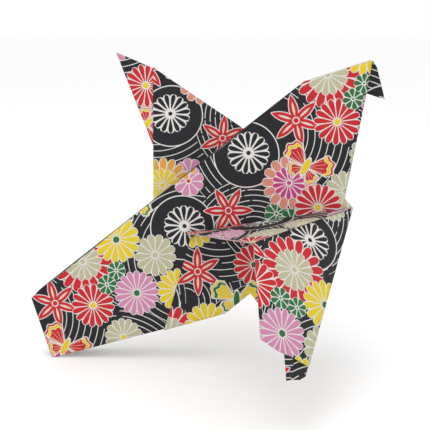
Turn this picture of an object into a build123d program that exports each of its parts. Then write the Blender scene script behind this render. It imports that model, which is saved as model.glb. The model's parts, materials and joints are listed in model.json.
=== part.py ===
"""A folded paper bird: one square of printed paper, modelled as the panels between its creases.

The two body sides hang from one crease, the spine, like the two halves of a closed book that is
starting to open. Each wing is folded out of its own side along a root crease, and the head is a
point of paper reversed between the two sides. X runs from the tail to the head, -Y is the near
side and +Z is up. Lengths are in millimetres and angles in degrees.
"""

import os
from math import cos, radians, sin

from build123d import *

# Paper
paper = 0.2             # thickness of one layer
layer_gap = 0.15        # air between two layers that lie on each other
root_lift = 0.5         # how far a wing's root crease stands off the inner face of its side
crease_gap = 0.3        # every panel stops this far short of its fold lines

# Body: where the spine starts from the origin below the bird's middle, how steeply it climbs, and how
# far each side and each half of the head lean away from the upright
spine_start = Vector(-60.426, 19.023, 24.658)
spine_slope = 38.4
half_opening = 9.0
head_half_opening = 3.0

# Body outline as (distance along the spine, distance down the side)
tail_top = (0.0, 0.0)
tail_shoulder = (-4.0, 0.5)
tail_corner = (-12.0, 22.7)
belly_corner = (50.0, 48.0)
crown = (122.5, 0.0)
brow = (145.0, 8.7)
breast_top = (135.6, 17.3)
breast_low = (108.9, 40.8)

# Belly layer, which lies outside each body side below the wing
belly_top = (57.4, 18.6)
belly_front = (107.4, 46.6)
belly_heel = (28.2, 39.6)
belly_notch = (61.8, 47.6)
belly_step = (61.8, 51.6)
belly_point = (84.4, 62.3)

# Tail tip, folded in between the two sides
tuck_top = (0.0, 4.5)
tuck_low = (-9.0, 21.5)
tuck_point = (44.0, 17.0)

# Head, a reversed point between the two sides
head_back = (130.0, 6.5)
head_top = (138.5, 7.2)
beak_ridge = (144.8, 11.6)
beak_tip = (140.4, 22.2)

# Wing roots: both wings share one line on their own side, and the far front layer starts further back
root_rear = (56.5, 16.2)
root_front = (109.0, 45.2)
far_front_rear = (46.0, 10.4)

# Near wing, as offsets from the front of its root: a ledge runs out to the elbow, then the wing droops
near_elbow = Vector(-36.2, -30.9, -4.4)
near_hem_rear = Vector(-35.4, -51.9, -26.8)
near_hem_mid = Vector(-30.0, -51.9, -30.9)
near_hem_fold = Vector(-25.7, -51.1, -33.4)
near_hem_front = Vector(-20.5, -50.9, -37.1)
near_tip_corner = Vector(-27.7, -57.0, -38.0)
near_tip_fold = Vector(-26.2, -56.2, -38.2)
near_tip_low = Vector(-23.3, -54.9, -39.1)
near_tip_edge = Vector(-21.5, -53.4, -38.9)
tip_tuck = 0.06         # share of the wing's length that a tip facet runs up under the wing

# Far wing, as offsets from the front of its root: one flat raised panel
far_corner = Vector(-71.5, 16.2, 47.3)
far_tip = Vector(-86.0, 18.1, 53.4)

NEAR = -1
FAR = 1


def side_plane(side, lean):
    """Plane of one body side: x along the spine, y down the side, z towards +Y."""
    along = Vector(cos(radians(spine_slope)), 0, sin(radians(spine_slope)))
    down = Vector(sin(radians(spine_slope)), 0, -cos(radians(spine_slope)))
    tilted = down * cos(radians(lean)) + Vector(0, side, 0) * sin(radians(lean))
    return Plane(origin=spine_start, x_dir=along, z_dir=along.cross(tilted))


def on_side(side, point, lift=0.0):
    """Where a point of the body outline stands in space, lifted off the side's inner face."""
    return side_plane(side, half_opening).from_local_coords(Vector(*point, side * lift))


def crease_plane(start, end, third):
    """Plane with its x axis on the crease from start to end, through a third point."""
    along = end - start
    return Plane(origin=start, x_dir=along, z_dir=along.cross(third - start))


def layer_level(side, order):
    """Lower face of a layer of a body side: order 0 is the side itself, 1 lies outside it, -1 inside it."""
    outward = order * (paper + layer_gap)
    return outward if side == FAR else -outward - paper


def flattened(plane, points):
    """The points as (x, y) in the plane."""
    local = [plane.to_local_coords(point) for point in points]
    return [(point.X, point.Y) for point in local]


def make_panel(label, plane, corners, level):
    """One layer of paper: the outline, held back from its fold lines, from level to level + paper."""
    with BuildPart() as panel:
        with BuildSketch(plane.offset(level)):
            with BuildLine():
                Polyline(*corners, close=True)
            make_face()
            offset(amount=-crease_gap, kind=Kind.INTERSECTION)
        extrude(amount=paper)
    panel.part.label = label
    export_step(panel.part, f"parts/{label}.step")
    return panel.part


def show_axis(name, start, end):
    """Print a crease as a point and a direction."""
    direction = (end - start).normalized()
    print(f"{name}: point {tuple(round(v, 4) for v in start)}, axis {tuple(round(v, 5) for v in direction)}")


os.makedirs("parts", exist_ok=True)

# Body sides, with the belly layer outside each and the folded-in tail inside
side_outline = [tail_top, crown, brow, breast_top, breast_low, root_front, belly_corner, tail_corner, tail_shoulder]
belly_outline = [belly_top, belly_front, belly_point, belly_step, belly_notch, belly_corner, belly_heel]
tuck_outline = [tuck_top, tuck_point, tuck_low]
head_outline = [head_back, head_top, brow, beak_ridge, beak_tip]
panels = []
for side, name in ((NEAR, "near"), (FAR, "far")):
    plane = side_plane(side, half_opening)
    head_plane = side_plane(side, head_half_opening)
    panels.append(make_panel(f"{name}_side", plane, side_outline, layer_level(side, 0)))
    panels.append(make_panel(f"{name}_belly", plane, belly_outline, layer_level(side, 1)))
    panels.append(make_panel(f"{name}_tail_tuck", plane, tuck_outline, layer_level(side, -1)))
    panels.append(make_panel(f"{name}_head", head_plane, head_outline, layer_level(side, 0)))

# Near wing: a ledge at the root, then the drooping panel with its back layer and its folded tip
near_rear = on_side(NEAR, root_rear, root_lift)
near_front = on_side(NEAR, root_front, root_lift)
elbow, hem_rear, hem_mid, hem_fold, hem_front = [
    near_front + offset_vector
    for offset_vector in (near_elbow, near_hem_rear, near_hem_mid, near_hem_fold, near_hem_front)
]
tip_corner, tip_fold, tip_low, tip_edge = [
    near_front + offset_vector
    for offset_vector in (near_tip_corner, near_tip_fold, near_tip_low, near_tip_edge)
]
tucked_mid, tucked_fold, tucked_front = [
    point + (near_front - point) * tip_tuck for point in (hem_mid, hem_fold, hem_front)
]
front_level = -paper
back_level = layer_gap
ledge_plane = crease_plane(near_rear, near_front, elbow)
ledge_corners = flattened(ledge_plane, [near_rear, near_front, elbow])
panels.append(make_panel("near_wing_ledge", ledge_plane, ledge_corners, front_level))
panels.append(make_panel("near_wing_ledge_back", ledge_plane, ledge_corners, back_level))
wing_plane = crease_plane(elbow, near_front, hem_front)
for name, points, level in (
    ("near_wing_panel", [elbow, near_front, hem_front, hem_fold, hem_mid, hem_rear], front_level),
    ("near_wing_back", [elbow, near_front, tucked_front, tucked_fold, tucked_mid], back_level),
    ("near_tip_rear", [tucked_mid, tucked_fold, tip_fold, tip_corner], back_level),
    ("near_tip_front", [tucked_fold, tucked_front, tip_edge, tip_low, tip_fold], back_level),
):
    panels.append(make_panel(name, wing_plane, flattened(wing_plane, points), level))

# Far wing: one flat front layer, and a back layer whose tip shows past it
far_rear = on_side(FAR, root_rear, root_lift)
far_front = on_side(FAR, root_front, root_lift)
front_rear = on_side(FAR, far_front_rear, root_lift)
corner = far_front + far_corner
tip = far_front + far_tip
far_plane = crease_plane(front_rear, far_front, corner)
for name, points, level in (
    ("far_wing_front", [front_rear, far_front, corner], front_level),
    ("far_wing_back", [far_rear, far_front, corner, tip], front_level - layer_gap - paper),
):
    panels.append(make_panel(name, far_plane, flattened(far_plane, points), level))

whole = Compound(children=panels).bounding_box()
print(f"panels {len(panels)}, box {whole.min} to {whole.max}")
show_axis("spine", on_side(NEAR, tail_top), on_side(NEAR, crown))
show_axis("head", on_side(NEAR, crown), on_side(NEAR, crown) + Vector(0, 1, 0))
show_axis("near root", near_rear, near_front)
show_axis("near elbow", elbow, near_front)
show_axis("far root", far_rear, far_front)
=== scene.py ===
"""A folded paper bird, dressed for a studio shot around its CAD frame.

Every panel between two creases is rebuilt as a thin sheet with printed paper on its outer side and the
plain reverse on its inner side, apart from the far wing and the back and tip of the near wing, which show
the print on both. The ledges and the head are flat and the other sheets are slightly curved. One print
covers the whole sheet of paper and repeats across it. It is made of open and filled flowers, stars,
butterflies, round drops and discs of fine arcs, and each panel shows its own part of it.
"""

import json
import logging
import math
from collections.abc import Callable
from dataclasses import dataclass, field
from enum import Enum

import bmesh
import bpy
import numpy as np
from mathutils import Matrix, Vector


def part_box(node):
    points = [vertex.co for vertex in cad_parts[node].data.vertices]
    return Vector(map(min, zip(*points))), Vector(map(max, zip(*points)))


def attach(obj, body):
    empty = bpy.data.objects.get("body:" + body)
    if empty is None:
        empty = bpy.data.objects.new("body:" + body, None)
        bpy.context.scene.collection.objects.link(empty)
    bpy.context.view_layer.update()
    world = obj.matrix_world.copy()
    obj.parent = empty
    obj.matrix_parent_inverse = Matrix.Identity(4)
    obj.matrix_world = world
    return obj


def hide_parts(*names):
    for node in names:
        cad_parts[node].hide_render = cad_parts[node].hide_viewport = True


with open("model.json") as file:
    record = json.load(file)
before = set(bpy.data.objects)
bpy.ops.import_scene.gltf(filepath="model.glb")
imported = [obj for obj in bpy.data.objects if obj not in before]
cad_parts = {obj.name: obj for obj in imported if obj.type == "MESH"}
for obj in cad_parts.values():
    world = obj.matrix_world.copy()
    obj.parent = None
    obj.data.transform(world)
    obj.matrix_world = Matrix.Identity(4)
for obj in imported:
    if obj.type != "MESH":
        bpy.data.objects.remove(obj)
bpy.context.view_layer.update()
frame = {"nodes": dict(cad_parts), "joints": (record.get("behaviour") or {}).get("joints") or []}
LOG = logging.getLogger("paper_bird")
MM = 0.001
WELD = 1e-7          # two vertices closer than this, in metres, are one
HASH_STEP = 12.99    # these two scatter the breaks of a disc's arcs, so that they don't line up
HASH_SPREAD = 43.7
Colour = tuple[float, float, float]


def ink(red: int, green: int, blue: int) -> Colour:
    """A screen colour from 0 to 255 as linear light."""
    return tuple(((c / 255 + 0.055) / 1.055) ** 2.4 if c > 10 else c / 3295 for c in (red, green, blue))


class Ink(Enum):
    """The inks of the print, and the paper that they are printed on."""

    GROUND = ink(15, 17, 25)
    LINE = ink(214, 211, 206)
    RED = ink(188, 24, 34)
    PINK = ink(196, 128, 164)
    MAGENTA = ink(186, 52, 124)
    PEACH = ink(206, 130, 112)
    YELLOW = ink(216, 190, 32)
    ORANGE = ink(210, 152, 62)
    CREAM = ink(178, 175, 142)
    VEIN = ink(214, 198, 182)
    GREEN = ink(30, 104, 54)
    REVERSE = ink(226, 222, 212)
    FOLD = ink(38, 40, 50)


class Graph:
    """One material's node tree, with a single way to add a node."""

    def __init__(self, name: str) -> None:
        """Start an empty tree for a new material."""
        self.material = bpy.data.materials.new(name)
        self.material.use_nodes = True
        self.tree = self.material.node_tree
        self.tree.nodes.clear()

    def node(self, kind: str, settings: dict | None = None, inputs: dict | None = None) -> bpy.types.Node:
        """Add a node.

        Args:
            kind: the node's type.
            settings: its properties, set before its sockets are filled.
            inputs: values or wires by socket name or number.

        Returns:
            The new node.
        """
        made = self.tree.nodes.new(kind)
        for key, value in (settings or {}).items():
            setattr(made, key, value)
        for key, value in (inputs or {}).items():
            if isinstance(value, Wire):
                self.tree.links.new(value.socket, made.inputs[key])
            else:
                made.inputs[key].default_value = value
        return made

    def wire(
        self, kind: str, output: int | str, settings: dict | None = None, inputs: dict | None = None
    ) -> "Wire":
        """Add a node and return one of its outputs as a wire."""
        return Wire(self, self.node(kind, settings, inputs).outputs[output])

    def paint(self, under: "Wire | Colour", over: "Wire | Colour", mask: "Wire") -> "Wire":
        """Lay one colour over another.

        Args:
            under, over: the two colours.
            mask: 1 where the upper one covers, 0 where the lower one stays.

        Returns:
            The mixed colour.
        """
        colours = {
            key: value if isinstance(value, Wire) else (*value, 1.0) for key, value in ((6, under), (7, over))
        }
        return self.wire("ShaderNodeMix", 2, {"data_type": "RGBA"}, {0: mask, **colours})

    def noise(self, place: "Wire", scale: float, detail: float) -> "Wire":
        """Cloudy noise between 0 and 1 at a place."""
        return self.wire("ShaderNodeTexNoise", 0, inputs={"Vector": place, "Scale": scale, "Detail": detail})

    def bump(self, height: "Wire", strength: float, distance: float) -> "Wire":
        """A normal for a surface raised by a height."""
        settings = {"Height": height, "Strength": strength, "Distance": distance}
        return self.wire("ShaderNodeBump", 0, inputs=settings)


Number = "Wire | float"


class Wire:
    """A shader socket that takes part in Python arithmetic."""

    def __init__(self, graph: Graph, socket: bpy.types.NodeSocket) -> None:
        """Wrap a socket of the graph."""
        self.graph = graph
        self.socket = socket

    def _math(self, operation: str, *operands: Number) -> "Wire":
        """Add a Math node for the operation on the operands."""
        return self.graph.wire("ShaderNodeMath", 0, {"operation": operation}, dict(enumerate(operands)))

    def __add__(self, other: Number) -> "Wire":
        """Sum."""
        return self._math("ADD", self, other)

    __radd__ = __add__

    def __sub__(self, other: Number) -> "Wire":
        """Difference."""
        return self._math("SUBTRACT", self, other)

    def __rsub__(self, other: float) -> "Wire":
        """Reflected difference."""
        return self._math("SUBTRACT", other, self)

    def __mul__(self, other: Number) -> "Wire":
        """Product."""
        return self._math("MULTIPLY", self, other)

    __rmul__ = __mul__

    def __truediv__(self, other: Number) -> "Wire":
        """Quotient."""
        return self._math("DIVIDE", self, other)

    def __pow__(self, other: Number) -> "Wire":
        """Power."""
        return self._math("POWER", self, other)

    def __gt__(self, other: Number) -> "Wire":
        """1 where this is greater."""
        return self._math("GREATER_THAN", self, other)

    def __lt__(self, other: Number) -> "Wire":
        """1 where this is less."""
        return self._math("LESS_THAN", self, other)

    def __abs__(self) -> "Wire":
        """Size without sign."""
        return self._math("ABSOLUTE", self)

    def call(self, operation: str, *others: Number) -> "Wire":
        """Any other Math operation on this wire."""
        return self._math(operation, self, *others)


@dataclass(frozen=True)
class Pen:
    """Draws motifs on the printed sheet, in millimetres, each of them once in every repeat of the print.

    Args:
        graph: the material's graph.
        x: distance across the sheet.
        y: distance up the sheet.
        width, height: the size of one repeat.
        line: half the width of the pale outlines.
    """

    graph: Graph
    x: Wire
    y: Wire
    width: float = 110.0
    height: float = 64.0
    line: float = 0.2

    def offset(self, x: float, y: float, turn: float = 0.0) -> tuple[Wire, Wire]:
        """Distances along and beside a direction from the nearest repeat of a place.

        Args:
            x, y: the place.
            turn: the direction, in degrees.

        Returns:
            The distance along the direction and the distance to its left.
        """
        across = (self.x - x).call("WRAP", self.width / 2, -self.width / 2)
        up = (self.y - y).call("WRAP", self.height / 2, -self.height / 2)
        if turn:
            cosine, sine = math.cos(math.radians(turn)), math.sin(math.radians(turn))
            across, up = across * cosine + up * sine, up * cosine - across * sine
        return across, up

    def polar(self, x: float, y: float, turn: float = 0.0) -> tuple[Wire, Wire]:
        """Distance and angle from a place, with the zero angle turned by turn degrees."""
        across, up = self.offset(x, y, turn)
        return (across * across + up * up).call("SQRT"), up.call("ARCTAN2", across)


@dataclass(frozen=True)
class Motif:
    """A figure of the print.

    Args:
        x, y: its middle on the sheet, in millimetres.
        radius: its size, in millimetres.
        turn: how far it is turned, in petals for a flower or a star and in degrees for a butterfly.
    """

    x: float
    y: float
    radius: float
    turn: float = 0.0

    def petals(self, pen: Pen, count: int) -> tuple[Wire, Wire, Wire]:
        """Polar distance, distance along the nearest petal and distance beside it, as shares of its length.

        Args:
            pen: what draws.
            count: number of petals.

        Returns:
            The distance from the centre, the share along the petal and the distance beside its axis.
        """
        distance, angle = pen.polar(self.x, self.y)
        sector = angle * (count / (2 * math.pi)) + (self.turn + count)
        offset = (sector.call("FRACT") - 0.5) * (2 * math.pi / count)
        along = distance * offset.call("COSINE")
        beside = abs(distance * offset.call("SINE"))
        return distance, along * (1 / self.radius), beside

    def club(self, share: Wire, radius: float, count: int) -> Wire:
        """Half width of a round-ended petal at a share of its length."""
        round_end = (1.0 - share ** 7.0).call("MAXIMUM", 0.0).call("SQRT")
        return share * round_end * (radius * math.tan(math.pi / count) * 0.97)

    def eye(self, pen: Pen, under: Wire, distance: Wire, radius: float, colour: Colour) -> Wire:
        """Paint a round centre with a pale ring."""
        ringed = pen.graph.paint(under, Ink.LINE.value, distance < radius + pen.line)
        return pen.graph.paint(ringed, colour, distance < radius - pen.line)


@dataclass(frozen=True)
class Flower(Motif):
    """A chrysanthemum with filled petals.

    Args:
        petal, centre: its two inks.
        count: number of petals.
        eye_share: the centre's radius as a share of the flower's.
    """

    petal: Ink = Ink.RED
    centre: Ink = Ink.YELLOW
    count: int = 14
    eye_share: float = 0.16

    def draw(self, pen: Pen, under: Wire) -> Wire:
        """Paint the flower over what is there.

        Args:
            pen: what draws.
            under: the colour below.

        Returns:
            The colour with it on top.
        """
        distance, share, beside = self.petals(pen, self.count)
        room = self.club(share, self.radius, self.count) - beside
        near = distance < self.radius * 1.02
        outlined = pen.graph.paint(under, Ink.LINE.value, (room > -pen.line) * near)
        filled = pen.graph.paint(outlined, self.petal.value, room > pen.line * 0.75)
        return self.eye(pen, filled, distance, self.radius * self.eye_share, self.centre.value)


@dataclass(frozen=True)
class DoubleFlower(Flower):
    """A chrysanthemum with an inner flower of another colour."""

    inner: Ink = Ink.MAGENTA
    inner_share: float = 0.62

    def draw(self, pen: Pen, under: Wire) -> Wire:
        """Paint the outer ring, then the inner flower.

        Args:
            pen: what draws.
            under: the colour below.

        Returns:
            The colour with it on top.
        """
        outer = Flower(self.x, self.y, self.radius, self.turn, self.petal, self.centre, self.count, 0.2)
        heart_radius = self.radius * self.inner_share
        heart = Flower(self.x, self.y, heart_radius, self.turn + 0.5, self.inner, self.centre)
        return heart.draw(pen, outer.draw(pen, under))


@dataclass(frozen=True)
class Pinwheel(Motif):
    """An open flower: outlines of petals on the dark ground.

    Args:
        count: number of petals.
        outline: half the width of their outlines, as a share of the pen's line.
        open_from: where the petals' ground starts, as a share of the radius.
        eye_share: the centre's radius as a share of the flower's.
    """

    count: int = 15
    outline: float = 1.4
    open_from: float = 0.27
    eye_share: float = 0.13

    def draw(self, pen: Pen, under: Wire) -> Wire:
        """Paint the outlines and the ground inside them.

        Args:
            pen: what draws.
            under: the colour below.

        Returns:
            The colour with it on top.
        """
        distance, share, beside = self.petals(pen, self.count)
        room = self.club(share, self.radius, self.count) - beside
        line = pen.line * self.outline
        outlined = pen.graph.paint(under, Ink.LINE.value, (room > -line) * (distance < self.radius))
        inside = (room > line) * (distance > self.radius * self.open_from)
        opened = pen.graph.paint(outlined, Ink.GROUND.value, inside)
        return self.eye(pen, opened, distance, self.radius * self.eye_share, Ink.GROUND.value)


@dataclass(frozen=True)
class Star(Motif):
    """Lance-shaped petals in red, each with a pale vein.

    Args:
        count: number of petals.
        base, point: how the petal widens from its base and narrows to its point, as powers.
        width: the petal's width, as a share of its length.
        vein: how far the vein stays from the petal's edge, as a share of its length.
        eye_share: the centre's radius as a share of the star's.
    """

    count: int = 6
    base: float = 0.65
    point: float = 0.85
    width: float = 0.5
    vein: float = 0.135
    eye_share: float = 0.12

    def draw(self, pen: Pen, under: Wire) -> Wire:
        """Paint outline, petal and vein.

        Args:
            pen: what draws.
            under: the colour below.

        Returns:
            The colour with it on top.
        """
        distance, share, beside = self.petals(pen, self.count)
        left = (1.0 - share).call("MAXIMUM", 0.0)
        lance = share.call("MAXIMUM", 0.0) ** self.base * left ** self.point * (self.radius * self.width)
        room = lance - beside
        near = distance < self.radius
        colour = pen.graph.paint(under, Ink.LINE.value, (room > -pen.line * 0.6) * near)
        colour = pen.graph.paint(colour, Ink.RED.value, room > pen.line * 0.9)
        colour = pen.graph.paint(colour, Ink.VEIN.value, room > self.radius * self.vein)
        return self.eye(pen, colour, distance, self.radius * self.eye_share, Ink.RED.value)


@dataclass(frozen=True)
class Wing:
    """One wing of a butterfly: a fan from its body, with a wavy outer edge, a stripe and veins.

    Args:
        x, y: where the wing leaves the body.
        length: from there to the outer edge.
        middle: the direction of the wing's middle, in degrees.
        spread: its whole angle, in degrees.
        fill: the colour of the wing.
        stripe: the colour of the stripe along its outer edge.
        waves, wave_height: how often and how far the outer edge waves, the height as a share of the length.
        rounding: how far the outer edge falls back at the wing's sides, as a share of the length.
        vein: sets how wide the veins are.
        stripe_place, half_stripe: where the stripe's middle lies and half its width, as shares of the length.
    """

    x: float
    y: float
    length: float
    middle: float
    spread: float
    fill: Ink
    stripe: Ink
    waves: float = 8.5
    wave_height: float = 0.035
    rounding: float = 0.16
    vein: float = 0.24
    stripe_place: float = 0.16
    half_stripe: float = 0.055

    def draw(self, pen: Pen, under: Wire) -> Wire:
        """Paint outline, wing, veins and stripe.

        Args:
            pen: what draws.
            under: the colour below.

        Returns:
            The colour with it on top.
        """
        distance, angle = pen.polar(self.x, self.y, self.middle)
        half = math.radians(self.spread / 2)
        turned = angle * (1 / half)
        wavy = (turned * self.waves).call("SINE") * self.wave_height - turned * turned * self.rounding + 1.0
        left = wavy * self.length - distance
        room = left.call("MINIMUM", (half - abs(angle)) * distance)
        colour = pen.graph.paint(under, Ink.LINE.value, room > -pen.line)
        colour = pen.graph.paint(colour, self.fill.value, room > pen.line)
        vein = abs((turned * 2.0).call("FRACT") - 0.5) * distance < self.vein
        colour = pen.graph.paint(colour, Ink.VEIN.value, vein * (left > self.length * 0.3))
        from_stripe = abs(left - self.length * self.stripe_place)
        inside = room > pen.line
        half_stripe = self.length * self.half_stripe
        colour = pen.graph.paint(colour, Ink.LINE.value, (from_stripe < half_stripe + pen.line) * inside)
        return pen.graph.paint(colour, self.stripe.value, (from_stripe < half_stripe) * inside)


@dataclass(frozen=True)
class Butterfly(Motif):
    """A butterfly seen from above; its radius is the length of a fore wing.

    Args:
        fill, stripe: its two inks.
        hind, fore: the pairs of wings, as (length as a share of the radius, angle from the body, spread).
        body_share: half the body's length, as a share of the radius.
        slimness: the larger it is, the slimmer the body is.
    """

    fill: Ink = Ink.RED
    stripe: Ink = Ink.YELLOW
    hind: tuple[float, float, float] = (0.66, 128.0, 58.0)
    fore: tuple[float, float, float] = (1.0, 62.0, 54.0)
    body_share: float = 0.3125
    slimness: float = 9.0

    def draw(self, pen: Pen, under: Wire) -> Wire:
        """Paint the hind wings, the fore wings and the body.

        Args:
            pen: what draws.
            under: the colour below.

        Returns:
            The colour with it on top.
        """
        colour = under
        for length, aside, spread in (self.hind, self.fore):
            for side in (1, -1):
                middle = self.turn + side * aside
                reach = self.radius * length
                wing = Wing(self.x, self.y, reach, middle, spread, self.fill, self.stripe)
                colour = wing.draw(pen, colour)
        along, beside = pen.offset(self.x, self.y, self.turn)
        scaled = along * (1 / (self.radius * self.body_share))
        room = 1.0 - (scaled * scaled + (beside * beside) * (self.slimness / self.radius))
        colour = pen.graph.paint(colour, Ink.LINE.value, room > -0.5)
        return pen.graph.paint(colour, self.stripe.value, room > 0.0)


@dataclass(frozen=True)
class Stream:
    """A disc of fine broken arcs round a centre, on plain ground.

    Args:
        x, y: the centre.
        inner, outer: the smallest and largest radius.
        pitch: distance from arc to arc.
        run: length of an arc before its next gap.
        gap: share of the run that the gap takes.
        thread: half the width of an arc, as a share of the pen's line.
    """

    x: float
    y: float
    inner: float
    outer: float
    pitch: float = 1.9
    run: float = 34.0
    gap: float = 0.07
    thread: float = 0.72

    def draw(self, pen: Pen, under: Wire) -> Wire:
        """Paint the ground of the disc, then its arcs.

        Args:
            pen: what draws.
            under: the colour below.

        Returns:
            The colour with it on top.
        """
        distance, angle = pen.polar(self.x, self.y)
        ring = (distance - self.inner) * (1 / self.pitch)
        phase = ((ring.call("FLOOR") * HASH_STEP).call("SINE") * HASH_SPREAD).call("FRACT")
        thread = abs(ring.call("FRACT") - 0.5) < pen.line * self.thread / self.pitch
        gap = (angle * distance * (1 / self.run) + phase).call("FRACT") < self.gap
        cleared = pen.graph.paint(under, Ink.GROUND.value, distance < self.outer)
        disc = (distance > self.inner) * (distance < self.outer)
        return pen.graph.paint(cleared, Ink.LINE.value, disc * thread * (1.0 - gap))


@dataclass(frozen=True)
class Ring(Motif):
    """A plain dark round field with a fine outline, the drop that frames an open flower."""

    def draw(self, pen: Pen, under: Wire) -> Wire:
        """Paint the outline, then the ground inside.

        Args:
            pen: what draws.
            under: the colour below.

        Returns:
            The colour with it on top.
        """
        distance, _ = pen.polar(self.x, self.y)
        outlined = pen.graph.paint(under, Ink.LINE.value, distance < self.radius + pen.line)
        return pen.graph.paint(outlined, Ink.GROUND.value, distance < self.radius - pen.line)


@dataclass(frozen=True)
class PrintedPaper:
    """Matt patterned paper: a dark ground with a repeating print, on slightly uneven paper fibre.

    Args:
        name: the material's name.
        roughness: the middle of its range.
        roughness_change: how far the roughness varies over the sheet.
        mottle_scale, fibre_scale: how fine the clouds and the fibres are.
        bare_share: how strongly the bare paper shows where the ink is thin.
        dull_share: how strongly the ground's colour dulls the ink in the clouds.
        thin_contrast, thin_start: how sharply the thin places stand out, and where they start.
        dull_contrast, dull_start: the same for the dull places.
        relief: strength of the bump.
        raised: height of the bump, in metres.
        shine: strength of the reflection.
    """

    name: str
    roughness: float = 0.5
    roughness_change: float = 0.22
    mottle_scale: float = 2.6
    fibre_scale: float = 7.0
    bare_share: float = 0.07
    dull_share: float = 0.5
    thin_contrast: float = 0.9
    thin_start: float = 0.75
    dull_contrast: float = 1.9
    dull_start: float = 0.86
    relief: float = 0.12
    raised: float = 0.1 * MM
    shine: float = 0.2

    def streams(self) -> tuple[Stream, ...]:
        """The discs of arcs that fill the ground."""
        return (
            Stream(22, -30, 4, 31, 2.1),
            Stream(72, -34, 4, 31, 2.4),
            Stream(0, 0, 10, 31, 2.2),
            Stream(46, 2, 13, 31, 2.4),
            Stream(104, -20, 3, 30, 2.0),
            Stream(93, 20, 13, 31, 2.4),
            Stream(66, -8, 9, 24, 1.9, 12),
        )

    def open_figures(self) -> tuple[Motif, ...]:
        """The drops with their open flowers, and the stars."""
        drops = ((49, 12), (83, 19), (9, -26))
        stars = (
            Star(66, 7, 9.0, 0.1),
            Star(104, 18, 9.2, 0.4),
            Star(30, -21, 9.0, 0.3),
            Star(50, -10, 7.5, 0.2),
            Star(86, -27, 8.6, 0.1),
        )
        rings = tuple(Ring(x, y, 11.5) for x, y in drops)
        wheels = tuple(Pinwheel(x + 1, y, 7.4, 0.2) for x, y in drops)
        return rings + wheels + stars

    def bouquet(self) -> tuple[Motif, ...]:
        """The large group of filled flowers."""
        return (
            Flower(61, 24, 5.5, 0.0, Ink.PINK, Ink.RED, 9),
            DoubleFlower(12, 24, 11.4, 0.2, Ink.RED, Ink.CREAM, 17, inner=Ink.CREAM),
            Flower(35, 10, 7.6, 0.1, Ink.CREAM, Ink.CREAM, 13),
            Flower(27, 23, 8.6, 0.0, Ink.YELLOW, Ink.GREEN, 15),
            Flower(5, 9, 8.0, 0.3, Ink.RED, Ink.YELLOW, 16),
            Flower(14, 12, 3.6, 0.1, Ink.GREEN, Ink.GREEN, 8),
            Flower(20, 14, 3.4, 0.4, Ink.GREEN, Ink.GREEN, 8),
            Flower(34, -5, 7.8, 0.2, Ink.YELLOW, Ink.GREEN, 15),
            Flower(7, -7, 7.0, 0.2, Ink.CREAM, Ink.YELLOW, 14),
            Flower(21, 3, 8.2, 0.0, Ink.PINK, Ink.GREEN, 17),
        )

    def small_groups(self) -> tuple[Motif, ...]:
        """The butterflies and the flowers beside them."""
        return (
            Flower(79, -4, 4.2, 0.0, Ink.GREEN, Ink.GREEN, 8),
            Flower(82, -9, 4.2, 0.3, Ink.GREEN, Ink.GREEN, 8),
            DoubleFlower(89, 2, 9.4, 0.0, Ink.PEACH, Ink.MAGENTA, 14, inner=Ink.MAGENTA),
            Flower(103, -12, 7.0, 0.2, Ink.CREAM, Ink.CREAM, 13),
            Flower(92, -11, 8.2, 0.0, Ink.RED, Ink.YELLOW, 17),
            Butterfly(97, 3, 10.0, 25.0, Ink.RED, Ink.YELLOW),
            DoubleFlower(62, -29, 10.4, 0.0, Ink.ORANGE, Ink.YELLOW, 17, inner=Ink.YELLOW),
            Flower(50, -25, 7.4, 0.1, Ink.RED, Ink.GREEN, 15),
            Flower(72, -23, 4.0, 0.1, Ink.GREEN, Ink.GREEN, 8),
            Flower(101, -29, 7.6, 0.1, Ink.PINK, Ink.GREEN, 15),
            Butterfly(40, -35, 10.0, 70.0, Ink.YELLOW, Ink.GREEN),
        )

    def make(self) -> bpy.types.Material:
        """Build the material.

        Returns:
            The material.
        """
        graph = Graph(self.name)
        place = graph.wire("ShaderNodeUVMap", 0, {"uv_map": "Sheet"})
        split = graph.node("ShaderNodeSeparateXYZ", inputs={0: place})
        pen = Pen(graph, Wire(graph, split.outputs[0]), Wire(graph, split.outputs[1]))
        colour = graph.wire("ShaderNodeRGB", 0)
        colour.socket.default_value = (*Ink.GROUND.value, 1.0)
        for motif in self.streams() + self.open_figures() + self.bouquet() + self.small_groups():
            colour = motif.draw(pen, colour)
        mottle = graph.noise(place, self.mottle_scale, 4.0)
        fibre = graph.noise(place, self.fibre_scale, 5.0)
        uneven = mottle * self.thin_contrast + fibre * self.thin_contrast
        thin = (uneven - self.thin_start).call("MAXIMUM", 0.0)
        dull = (mottle * self.dull_contrast - self.dull_start).call("MAXIMUM", 0.0)
        inked = graph.paint(colour, Ink.REVERSE.value, thin * self.bare_share)
        inked = graph.paint(inked, Ink.GROUND.value, dull * self.dull_share)
        roughness = mottle * self.roughness_change + (self.roughness - self.roughness_change / 2)
        bump = graph.bump(fibre + mottle, self.relief, self.raised)
        sockets = {
            "Base Color": inked,
            "Roughness": roughness,
            "Normal": bump,
            "Specular IOR Level": self.shine,
        }
        shader = graph.wire("ShaderNodeBsdfPrincipled", 0, inputs=sockets)
        graph.node("ShaderNodeOutputMaterial", inputs={"Surface": shader})
        return graph.material


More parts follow.
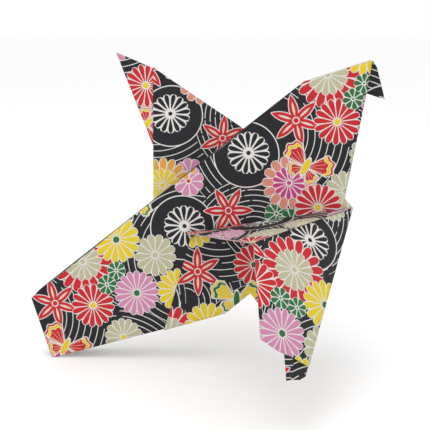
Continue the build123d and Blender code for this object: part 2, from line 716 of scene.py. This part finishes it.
@dataclass(frozen=True)
class PlainPaper:
    """Unprinted paper: the reverse of the sheet, or the worn ink along a fold.

    Args:
        name: the material's name.
        colour: its lightest colour.
        roughness: the middle of its range.
        roughness_change: how far the roughness varies.
        shade: share of the colour that is left in its darkest places.
        fibre_scale, cloud_scale: how fine the fibres and the clouds are.
        relief: strength of the bump.
        raised: height of the bump, in metres.
    """

    name: str
    colour: Ink = Ink.REVERSE
    roughness: float = 0.75
    roughness_change: float = 0.2
    shade: float = 0.82
    fibre_scale: float = 2400.0
    cloud_scale: float = 300.0
    relief: float = 0.2
    raised: float = 0.1 * MM

    def make(self) -> bpy.types.Material:
        """Build the material.

        Returns:
            The material.
        """
        graph = Graph(self.name)
        place = graph.wire("ShaderNodeTexCoord", "Object")
        fibre = graph.noise(place, self.fibre_scale, 5.0)
        cloud = graph.noise(place, self.cloud_scale, 3.0)
        shaded = tuple(self.shade * part for part in self.colour.value)
        colour = graph.paint(shaded, self.colour.value, (fibre + cloud) * 0.5)
        roughness = fibre * self.roughness_change + (self.roughness - self.roughness_change / 2)
        bump = graph.bump(fibre, self.relief, self.raised)
        sockets = {"Base Color": colour, "Roughness": roughness, "Normal": bump}
        shader = graph.wire("ShaderNodeBsdfPrincipled", 0, inputs=sockets)
        graph.node("ShaderNodeOutputMaterial", inputs={"Surface": shader})
        return graph.material


Warp = Callable[[np.ndarray], np.ndarray]


def flat(points: np.ndarray) -> np.ndarray:
    """No curve at all."""
    return np.zeros(len(points))


@dataclass(frozen=True)
class Lie:
    """How a panel's paper lies in the printed sheet.

    Args:
        x, y: the place in the print that falls on the mean of the panel's corners, in millimetres.
        turn: the direction in which the print runs across the panel, in degrees.
    """

    x: float
    y: float
    turn: float = 0.0


@dataclass
class Sheet:
    """One panel of paper between its creases, shaped after its CAD node.

    Args:
        node: the CAD node that it replaces.
        body: the body that it rides on.
        outside: roughly where its printed side faces.
        lie: which part of the print it shows.
        papers: its finishes.
        warp: height of the sheet's curve above its flat plane, in metres, at points in space.
        both_sides: whether the print shows on its inner side too.
        thickness: of the paper.
        reach: how far past the CAD outline the paper runs, towards its fold lines.
        mesh_step: size of the mesh's faces.
        bow: which way the warp lifts the sheet, square to it unless stated.
        flat_angle: faces that meet at less than this angle, in radians, are one.
        broad_share: what counts as one of the two broad faces, as a share of the largest.
        sharpest: limits how far a sharp corner grows.
    """

    node: str
    body: str
    outside: Vector
    lie: Lie
    papers: "Papers"
    warp: Warp = flat
    both_sides: bool = False
    thickness: float = 0.12 * MM
    reach: float = 0.28 * MM
    mesh_step: float = 2.4 * MM
    bow: Vector | None = None
    flat_angle: float = 0.01
    broad_share: float = 0.98
    sharpest: float = 0.08
    normal: Vector = field(init=False)
    outline: list[Vector] = field(init=False)

    def __post_init__(self) -> None:
        """Read the plane and the outline of the panel from its CAD node."""
        shape = bmesh.new()
        shape.from_mesh(frame["nodes"][self.node].data)
        bmesh.ops.remove_doubles(shape, verts=shape.verts[:], dist=WELD)
        bmesh.ops.dissolve_limit(
            shape, angle_limit=self.flat_angle, verts=shape.verts[:], edges=shape.edges[:]
        )
        shape.normal_update()
        widest = max(face.calc_area() for face in shape.faces)
        faces = [face for face in shape.faces if face.calc_area() > self.broad_share * widest]
        face = max(faces, key=lambda item: item.normal.dot(self.outside))
        self.normal = face.normal.copy()
        corners = [vertex.co.copy() for vertex in face.verts]
        shape.free()
        self.outline = self._grown(corners)

    def _grown(self, corners: list[Vector]) -> list[Vector]:
        """Move every edge outward by the reach.

        Args:
            corners: the CAD outline's corners, in order.

        Returns:
            The corners of the wider outline.
        """
        grown = []
        for index, corner in enumerate(corners):
            before = (corner - corners[index - 1]).normalized()
            after = (corners[(index + 1) % len(corners)] - corner).normalized()
            out_before = before.cross(self.normal)
            out_after = after.cross(self.normal)
            middle = out_before + out_after
            grown.append(corner + middle * (self.reach / max(self.sharpest, middle.dot(out_before))))
        return grown

    def axes(self) -> tuple[Vector, Vector]:
        """Work out the sheet's axes.

        Returns:
            The directions across and up the sheet.
        """
        across = Vector((0, 0, 1)).cross(self.normal).normalized()
        if across.x < 0:
            across.negate()
        up = self.normal.cross(across).normalized()
        if up.z < 0:
            up.negate()
        return across, up

    def build(self) -> bpy.types.Object:
        """Make the mesh, dress it and put it in the CAD node's place.

        Returns:
            The sheet.
        """
        across, up = self.axes()
        patch = bmesh.new()
        patch.faces.new([patch.verts.new(corner) for corner in self.outline])
        for axis in (across, up):
            spans = [corner.dot(axis) for corner in self.outline]
            for place in np.arange(min(spans) + self.mesh_step / 2, max(spans), self.mesh_step):
                geometry = patch.verts[:] + patch.edges[:] + patch.faces[:]
                cut = axis * float(place)
                bmesh.ops.bisect_plane(patch, geom=geometry, plane_co=cut, plane_no=axis, dist=WELD)
        bmesh.ops.triangulate(patch, faces=[face for face in patch.faces if len(face.verts) > 4])
        patch.verts.index_update()
        patch.faces.ensure_lookup_table()
        patch.normal_update()
        top = np.array([vertex.co for vertex in patch.verts])
        faces = [[vertex.index for vertex in face.verts] for face in patch.faces]
        rims = [
            [loop.vert.index, loop.link_loop_next.vert.index]
            for edge in patch.edges
            if len(edge.link_loops) == 1
            for loop in edge.link_loops
        ]
        if patch.faces[0].normal.dot(self.normal) < 0:
            faces = [face[::-1] for face in faces]
            rims = [rim[::-1] for rim in rims]
        patch.free()
        normal = np.array(self.normal)
        curved = top + np.outer(self.warp(top), np.array(self.bow or self.normal))
        count = len(top)
        points = np.concatenate([curved, curved - normal * self.thickness])
        polygons = faces + [[index + count for index in face[::-1]] for face in faces]
        polygons += [[end, start, start + count, end + count] for start, end in rims]
        mesh = bpy.data.meshes.new(self.node)
        mesh.from_pydata(points.tolist(), [], polygons)
        mesh.materials.append(self.papers.printed)
        mesh.materials.append(self.papers.printed if self.both_sides else self.papers.reverse)
        slots = [0] * len(faces) + [1] * len(faces) + [0] * len(rims)
        mesh.polygons.foreach_set("material_index", slots)
        mesh.polygons.foreach_set("use_smooth", [True] * (2 * len(faces)) + [False] * len(rims))
        self._lay_print(mesh, np.concatenate([top, top]), np.array(across), np.array(up))
        mesh.validate()
        sheet = bpy.data.objects.new(f"{self.node}_paper", mesh)
        bpy.context.scene.collection.objects.link(sheet)
        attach(sheet, self.body)
        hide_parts(self.node)
        LOG.info("%s: %d faces on %s", sheet.name, len(polygons), self.body)
        return sheet

    def _lay_print(
        self, mesh: bpy.types.Mesh, flat_points: np.ndarray, across: np.ndarray, up: np.ndarray
    ) -> None:
        """Store each point's place on the printed sheet, in millimetres.

        Args:
            mesh: the panel's mesh.
            flat_points: its vertices before the warp.
            across, up: the directions of the panel's axes.
        """
        middle = np.mean([list(corner) for corner in self.outline], axis=0)
        offset = (flat_points - middle) / MM
        x, y, turn = offset @ across, offset @ up, math.radians(self.lie.turn)
        along = self.lie.x + x * math.cos(turn) + y * math.sin(turn)
        beside = self.lie.y + y * math.cos(turn) - x * math.sin(turn)
        places = np.stack([along, beside], axis=1)
        layer = mesh.uv_layers.new(name="Sheet")
        vertices = np.zeros(len(mesh.loops), dtype=np.int32)
        mesh.loops.foreach_get("vertex_index", vertices)
        layer.data.foreach_set("uv", places[vertices].astype(np.float32).ravel())


@dataclass
class Fold:
    """A rounded crease between two panels, made as a thin soft bead along the fold line.

    Args:
        name: the bead's name.
        body: the body that it rides on.
        start, end: the ends of the fold line.
        material: its finish.
        radius: the bead's radius.
        sides, steps: how many faces it has round and along it.
        unevenness, waves: how far and how often its radius wavers, the first as a share of the radius.
        taper, taper_power: how far its ends narrow, as a share of the radius, and how suddenly.
    """

    name: str
    body: str
    start: Vector
    end: Vector
    material: bpy.types.Material
    radius: float = 0.2 * MM
    sides: int = 10
    steps: int = 24
    unevenness: float = 0.12
    waves: float = 9.0
    taper: float = 0.5
    taper_power: int = 12

    def build(self) -> bpy.types.Object:
        """Make the bead, a little uneven along its length and closed at both ends.

        Returns:
            The bead.
        """
        shape = bmesh.new()
        along = self.end - self.start
        turn = along.to_track_quat("Z", "Y").to_matrix()
        rings = []
        for step in range(self.steps + 1):
            share = step / self.steps
            wave = self.unevenness * math.sin(self.waves * share)
            narrowed = self.taper * abs(2 * share - 1) ** self.taper_power
            size = self.radius * (1 + wave - narrowed)
            centre = self.start + along * share
            angles = [2 * math.pi * side / self.sides for side in range(self.sides)]
            rim = [Vector((math.cos(angle) * size, math.sin(angle) * size, 0)) for angle in angles]
            rings.append([shape.verts.new(centre + turn @ point) for point in rim])
        for low, high in zip(rings, rings[1:]):
            for side in range(self.sides):
                after = (side + 1) % self.sides
                shape.faces.new([low[side], low[after], high[after], high[side]])
        shape.faces.new(rings[0][::-1])
        shape.faces.new(rings[-1])
        mesh = bpy.data.meshes.new(self.name)
        shape.to_mesh(mesh)
        shape.free()
        mesh.polygons.foreach_set("use_smooth", [True] * len(mesh.polygons))
        mesh.materials.append(self.material)
        bead = bpy.data.objects.new(self.name, mesh)
        bpy.context.scene.collection.objects.link(bead)
        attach(bead, self.body)
        LOG.info("%s on %s", self.name, self.body)
        return bead


def joint_at(name: str) -> Vector:
    """Where a joint of the frame is."""
    return Vector(next(joint["pos_m"] for joint in frame["joints"] if joint["name"] == name))


def joint_axis(name: str) -> Vector:
    """Which way a joint of the frame points."""
    return Vector(next(joint["axis"] for joint in frame["joints"] if joint["name"] == name)).normalized()


@dataclass
class Papers:
    """Every finish of the bird, built once."""

    printed: bpy.types.Material = field(init=False)
    reverse: bpy.types.Material = field(init=False)
    fold: bpy.types.Material = field(init=False)

    def __post_init__(self) -> None:
        """Build the materials."""
        self.printed = PrintedPaper("printed_paper").make()
        self.reverse = PlainPaper("paper_reverse").make()
        self.fold = PlainPaper("paper_fold", Ink.FOLD, 0.6).make()


@dataclass
class BodySide:
    """One half of the body with its belly layer and its folded-in tail.

    Args:
        side: which half, near or far.
        body: the body of the frame that it rides on.
        papers: its finishes.
        lies: how the paper of the side, the belly and the tail lies in the print.
        wave: height of the paper's slow wave.
        wave_across, wave_up, wave_start: its stretch along X and Z in millimetres, and where it starts.
    """

    side: str
    body: str
    papers: Papers
    lies: tuple[Lie, Lie, Lie]
    wave: float = 0.25 * MM
    wave_across: float = 19.0
    wave_up: float = 15.0
    wave_start: float = 0.6

    def warp(self, points: np.ndarray) -> np.ndarray:
        """A slow wave of the paper, the same for every layer of this side.

        Args:
            points: places on the flat sheet, in metres.

        Returns:
            The height of the curve at each of them, in metres.
        """
        across, up = points[:, 0] / MM, points[:, 2] / MM
        return self.wave * np.sin(across / self.wave_across + self.wave_start) * np.sin(up / self.wave_up)

    def tail_warp(self, points: np.ndarray) -> np.ndarray:
        """The same wave for the tail, whose printed side faces the other way."""
        return -self.warp(points)

    def build(self) -> None:
        """Make the three layers."""
        outside = Vector((0, -1 if self.side == "near" else 1, 0))
        side, belly, tail = self.lies
        for part, facing, lie, warp in (
            ("side", outside, side, self.warp),
            ("belly", outside, belly, self.warp),
            ("tail_tuck", -outside, tail, self.tail_warp),
        ):
            Sheet(f"{self.side}_{part}", self.body, facing, lie, self.papers, warp).build()


@dataclass
class Head:
    """The reversed point between the two sides."""

    papers: Papers

    def build(self) -> None:
        """Make both halves of the point."""
        for side, sign in (("near", -1), ("far", 1)):
            Sheet(f"{side}_head", "head", Vector((0, sign, 0)), Lie(18, -12, 60), self.papers).build()


@dataclass
class NearWing:
    """The drooping wing: a ledge beside the body, then a curved panel with a folded tip.

    Args:
        papers: its finishes.
        bulge: how far the panel bows at its length from the cone's point.
        span: the angle that the bow covers, in degrees.
        length: the panel's length from the cone's point.
        bow: which way it bows: towards the front camera, so that its outline hardly changes there.
        outside: roughly where the panel's printed side faces.
    """

    papers: Papers
    bulge: float = 6.0 * MM
    span: float = 38.0
    length: float = 66.0 * MM
    bow: Vector = field(default_factory=lambda: Vector((0.0, -0.974, 0.225)))
    outside: Vector = field(default_factory=lambda: Vector((0.47, -0.64, 0.61)))

    def warp(self, points: np.ndarray) -> np.ndarray:
        """Bow of the panel: a shallow cone with its point at the front of the root.

        Args:
            points: places on the flat sheet, in metres.

        Returns:
            The height of the curve at each of them, in metres.
        """
        front, axis, inward = self._front()
        offset = points - np.array(front)
        distance = np.linalg.norm(offset, axis=1)
        along = offset @ -np.array(axis)
        beside = offset @ np.array(inward)
        angle = np.degrees(np.arctan2(beside, along))
        share = np.clip(angle / self.span, 0.0, 1.0)
        return self.bulge * np.sin(math.pi * share) * distance / self.length

    def _front(self) -> tuple[Vector, Vector, Vector]:
        """Find the cone that the panel bows on.

        Returns:
            The cone's point, the elbow's direction and the direction down the panel.
        """
        axis = joint_axis("near_wing_elbow")
        low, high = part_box("near_wing_ledge")
        elbow = joint_at("near_wing_elbow")
        front = elbow + axis * ((high[0] - elbow.x) / axis.x)
        panel_low, panel_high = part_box("near_wing_panel")
        drop = (Vector(panel_low) + Vector(panel_high)) / 2 - front
        down = (drop - axis * drop.dot(axis)).normalized()
        return front, axis, down

    def build(self) -> None:
        """Make the ledge's two layers, the panel's two layers and the tip's facets."""
        for node, facing, lie in (
            ("near_wing_ledge", 1, Lie(2, -20, 20)),
            ("near_wing_ledge_back", -1, Lie(60, -20, 0)),
        ):
            Sheet(node, "near_wing_inner", Vector((0, 0, facing)), lie, self.papers).build()
        for node, both, lie in (
            ("near_wing_panel", False, Lie(19, 13, -62)),
            ("near_wing_back", True, Lie(70, -10, 30)),
            ("near_tip_rear", True, Lie(57, -14, 40)),
            ("near_tip_front", True, Lie(17, -13, 70)),
        ):
            body = "near_wing_outer"
            Sheet(node, body, self.outside, lie, self.papers, self.warp, both, bow=self.bow).build()


@dataclass
class FarWing:
    """The raised wing: a front layer and a back layer with the tip.

    Args:
        papers: its finishes.
        bow: how far it bows.
        height: height of the bow above the root.
        wave: stretch of the bow's wave along X.
        back_reach: how far the back layer runs past its CAD outline.
    """

    papers: Papers
    bow: float = 0.9 * MM
    height: float = 60 * MM
    wave: float = 14 * MM
    back_reach: float = 0.0

    def warp(self, points: np.ndarray) -> np.ndarray:
        """A shallow bow, strongest half way up the wing.

        Args:
            points: places on the flat sheet, in metres.

        Returns:
            The height of the curve at each of them, in metres.
        """
        root = joint_at("far_wing_root")
        share = np.clip((points[:, 2] - root.z) / self.height, 0.0, 1.0)
        return self.bow * np.sin(math.pi * share) * np.sin(points[:, 0] / self.wave)

    def build(self) -> None:
        """Make both layers; the back one keeps its CAD outline, to clear the side when the wing folds."""
        outside = Vector((0, -1, 0.3))
        for node, lie, reach in (
            ("far_wing_front", Lie(58, 14, 120), Sheet.reach),
            ("far_wing_back", Lie(80, 14, 200), self.back_reach),
        ):
            Sheet(node, "far_wing", outside, lie, self.papers, self.warp, True, reach=reach).build()


@dataclass
class Folds:
    """The creases that carry the joints."""

    papers: Papers

    def build(self) -> None:
        """Make a bead along each crease."""
        spine, spine_axis = joint_at("spine_crease"), joint_axis("spine_crease")
        crown = joint_at("head_nod")
        spine_end = spine + spine_axis * (crown - spine).length
        Fold("spine_fold", "near_body", spine, spine_end, self.papers.fold).build()
        for name, joint, node, body in (
            ("near_root_fold", "near_wing_root", "near_wing_ledge", "near_body"),
            ("near_elbow_fold", "near_wing_elbow", "near_wing_ledge", "near_wing_inner"),
            ("far_root_fold", "far_wing_root", "far_wing_back", "far_body"),
        ):
            start, axis = joint_at(joint), joint_axis(joint)
            _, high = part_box(node)
            end = start + axis * ((high[0] - start.x) / axis.x)
            Fold(name, body, start, end, self.papers.fold).build()


@dataclass
class Studio:
    """Pale floor, soft light and the camera.

    Args:
        elevation: how far above level the camera looks down, in degrees.
        distance: from the camera to the point that it faces.
        view_width: width of the view at that distance.
        aim: the point that the camera and the lights face.
        sensor: the camera's sensor width, in millimetres.
        floor_radius: the floor's radius, in metres.
        floor_sides: number of sides of the floor's rim.
        floor_tone: its lightness.
    """

    elevation: float = 13.0
    distance: float = 280.0 * MM
    view_width: float = 154.8 * MM
    aim: Vector = field(default_factory=lambda: Vector((4.5, 19.0, 53.2)) * MM)
    sensor: float = 36.0
    floor_radius: float = 30.0
    floor_sides: int = 64
    floor_tone: float = 0.97

    def build(self) -> None:
        """Set the stage."""
        self._floor()
        self._camera()
        self._light("overhead", Vector((-0.15, -0.15, 0.75)), 0.5, 1.2)
        self._light("front_left", Vector((-0.55, -0.7, 0.35)), 0.5, 0.7)
        self._light("front_right", Vector((0.6, -0.6, 0.45)), 0.4, 0.3)
        world = bpy.data.worlds.new("studio")
        world.use_nodes = True
        backdrop = world.node_tree.nodes["Background"]
        backdrop.inputs[0].default_value = (1.0, 1.0, 1.0, 1.0)
        backdrop.inputs[1].default_value = 1.0
        bpy.context.scene.world = world
        bpy.context.scene.view_settings.view_transform = "Standard"

    def _floor(self) -> None:
        """A wide pale floor at the bird's lowest point."""
        mesh = bpy.data.meshes.new("floor")
        rim = [2 * math.pi * step / self.floor_sides for step in range(self.floor_sides)]
        points = [(self.floor_radius * math.cos(turn), self.floor_radius * math.sin(turn), 0) for turn in rim]
        mesh.from_pydata(points, [], [range(len(points))])
        graph = Graph("floor")
        sockets = {"Base Color": (self.floor_tone, self.floor_tone, self.floor_tone, 1.0), "Roughness": 0.9}
        shader = graph.wire("ShaderNodeBsdfPrincipled", 0, inputs=sockets)
        graph.node("ShaderNodeOutputMaterial", inputs={"Surface": shader})
        mesh.materials.append(graph.material)
        floor = bpy.data.objects.new("floor", mesh)
        bpy.context.scene.collection.objects.link(floor)

    def _camera(self) -> None:
        """A camera in front of the near side, slightly above it."""
        tilt = math.radians(self.elevation)
        away = Vector((0, -math.cos(tilt), math.sin(tilt)))
        lens = bpy.data.cameras.new("camera")
        lens.sensor_width = self.sensor
        lens.lens = self.sensor * self.distance / self.view_width
        lens.clip_start = 0.01
        camera = bpy.data.objects.new("camera", lens)
        camera.location = self.aim + away * self.distance
        camera.rotation_euler = (math.pi / 2 - tilt, 0, 0)
        bpy.context.scene.collection.objects.link(camera)
        bpy.context.scene.camera = camera

    def _light(self, name: str, place: Vector, size: float, power: float) -> None:
        """A square soft light that faces the bird.

        Args:
            name: the light's name.
            place: where it stands, in metres.
            size: length of its side, in metres.
            power: in watts.
        """
        lamp = bpy.data.lights.new(name, "AREA")
        lamp.size = size
        lamp.energy = power
        light = bpy.data.objects.new(name, lamp)
        light.location = place
        light.rotation_euler = (self.aim - place).to_track_quat("-Z", "Y").to_euler()
        bpy.context.scene.collection.objects.link(light)


def main() -> None:
    """Build the bird, then the studio."""
    logging.basicConfig(level=logging.INFO, format="%(name)s %(message)s")
    papers = Papers()
    BodySide("near", "near_body", papers, (Lie(65, 6, 38), Lie(47, -31, 20), Lie(20, 0))).build()
    BodySide("far", "far_body", papers, (Lie(62, 4, -38), Lie(34, -20, -30), Lie(20, 0))).build()
    Head(papers).build()
    NearWing(papers).build()
    FarWing(papers).build()
    Folds(papers).build()
    Studio().build()


if __name__ == "__main__":
    main()
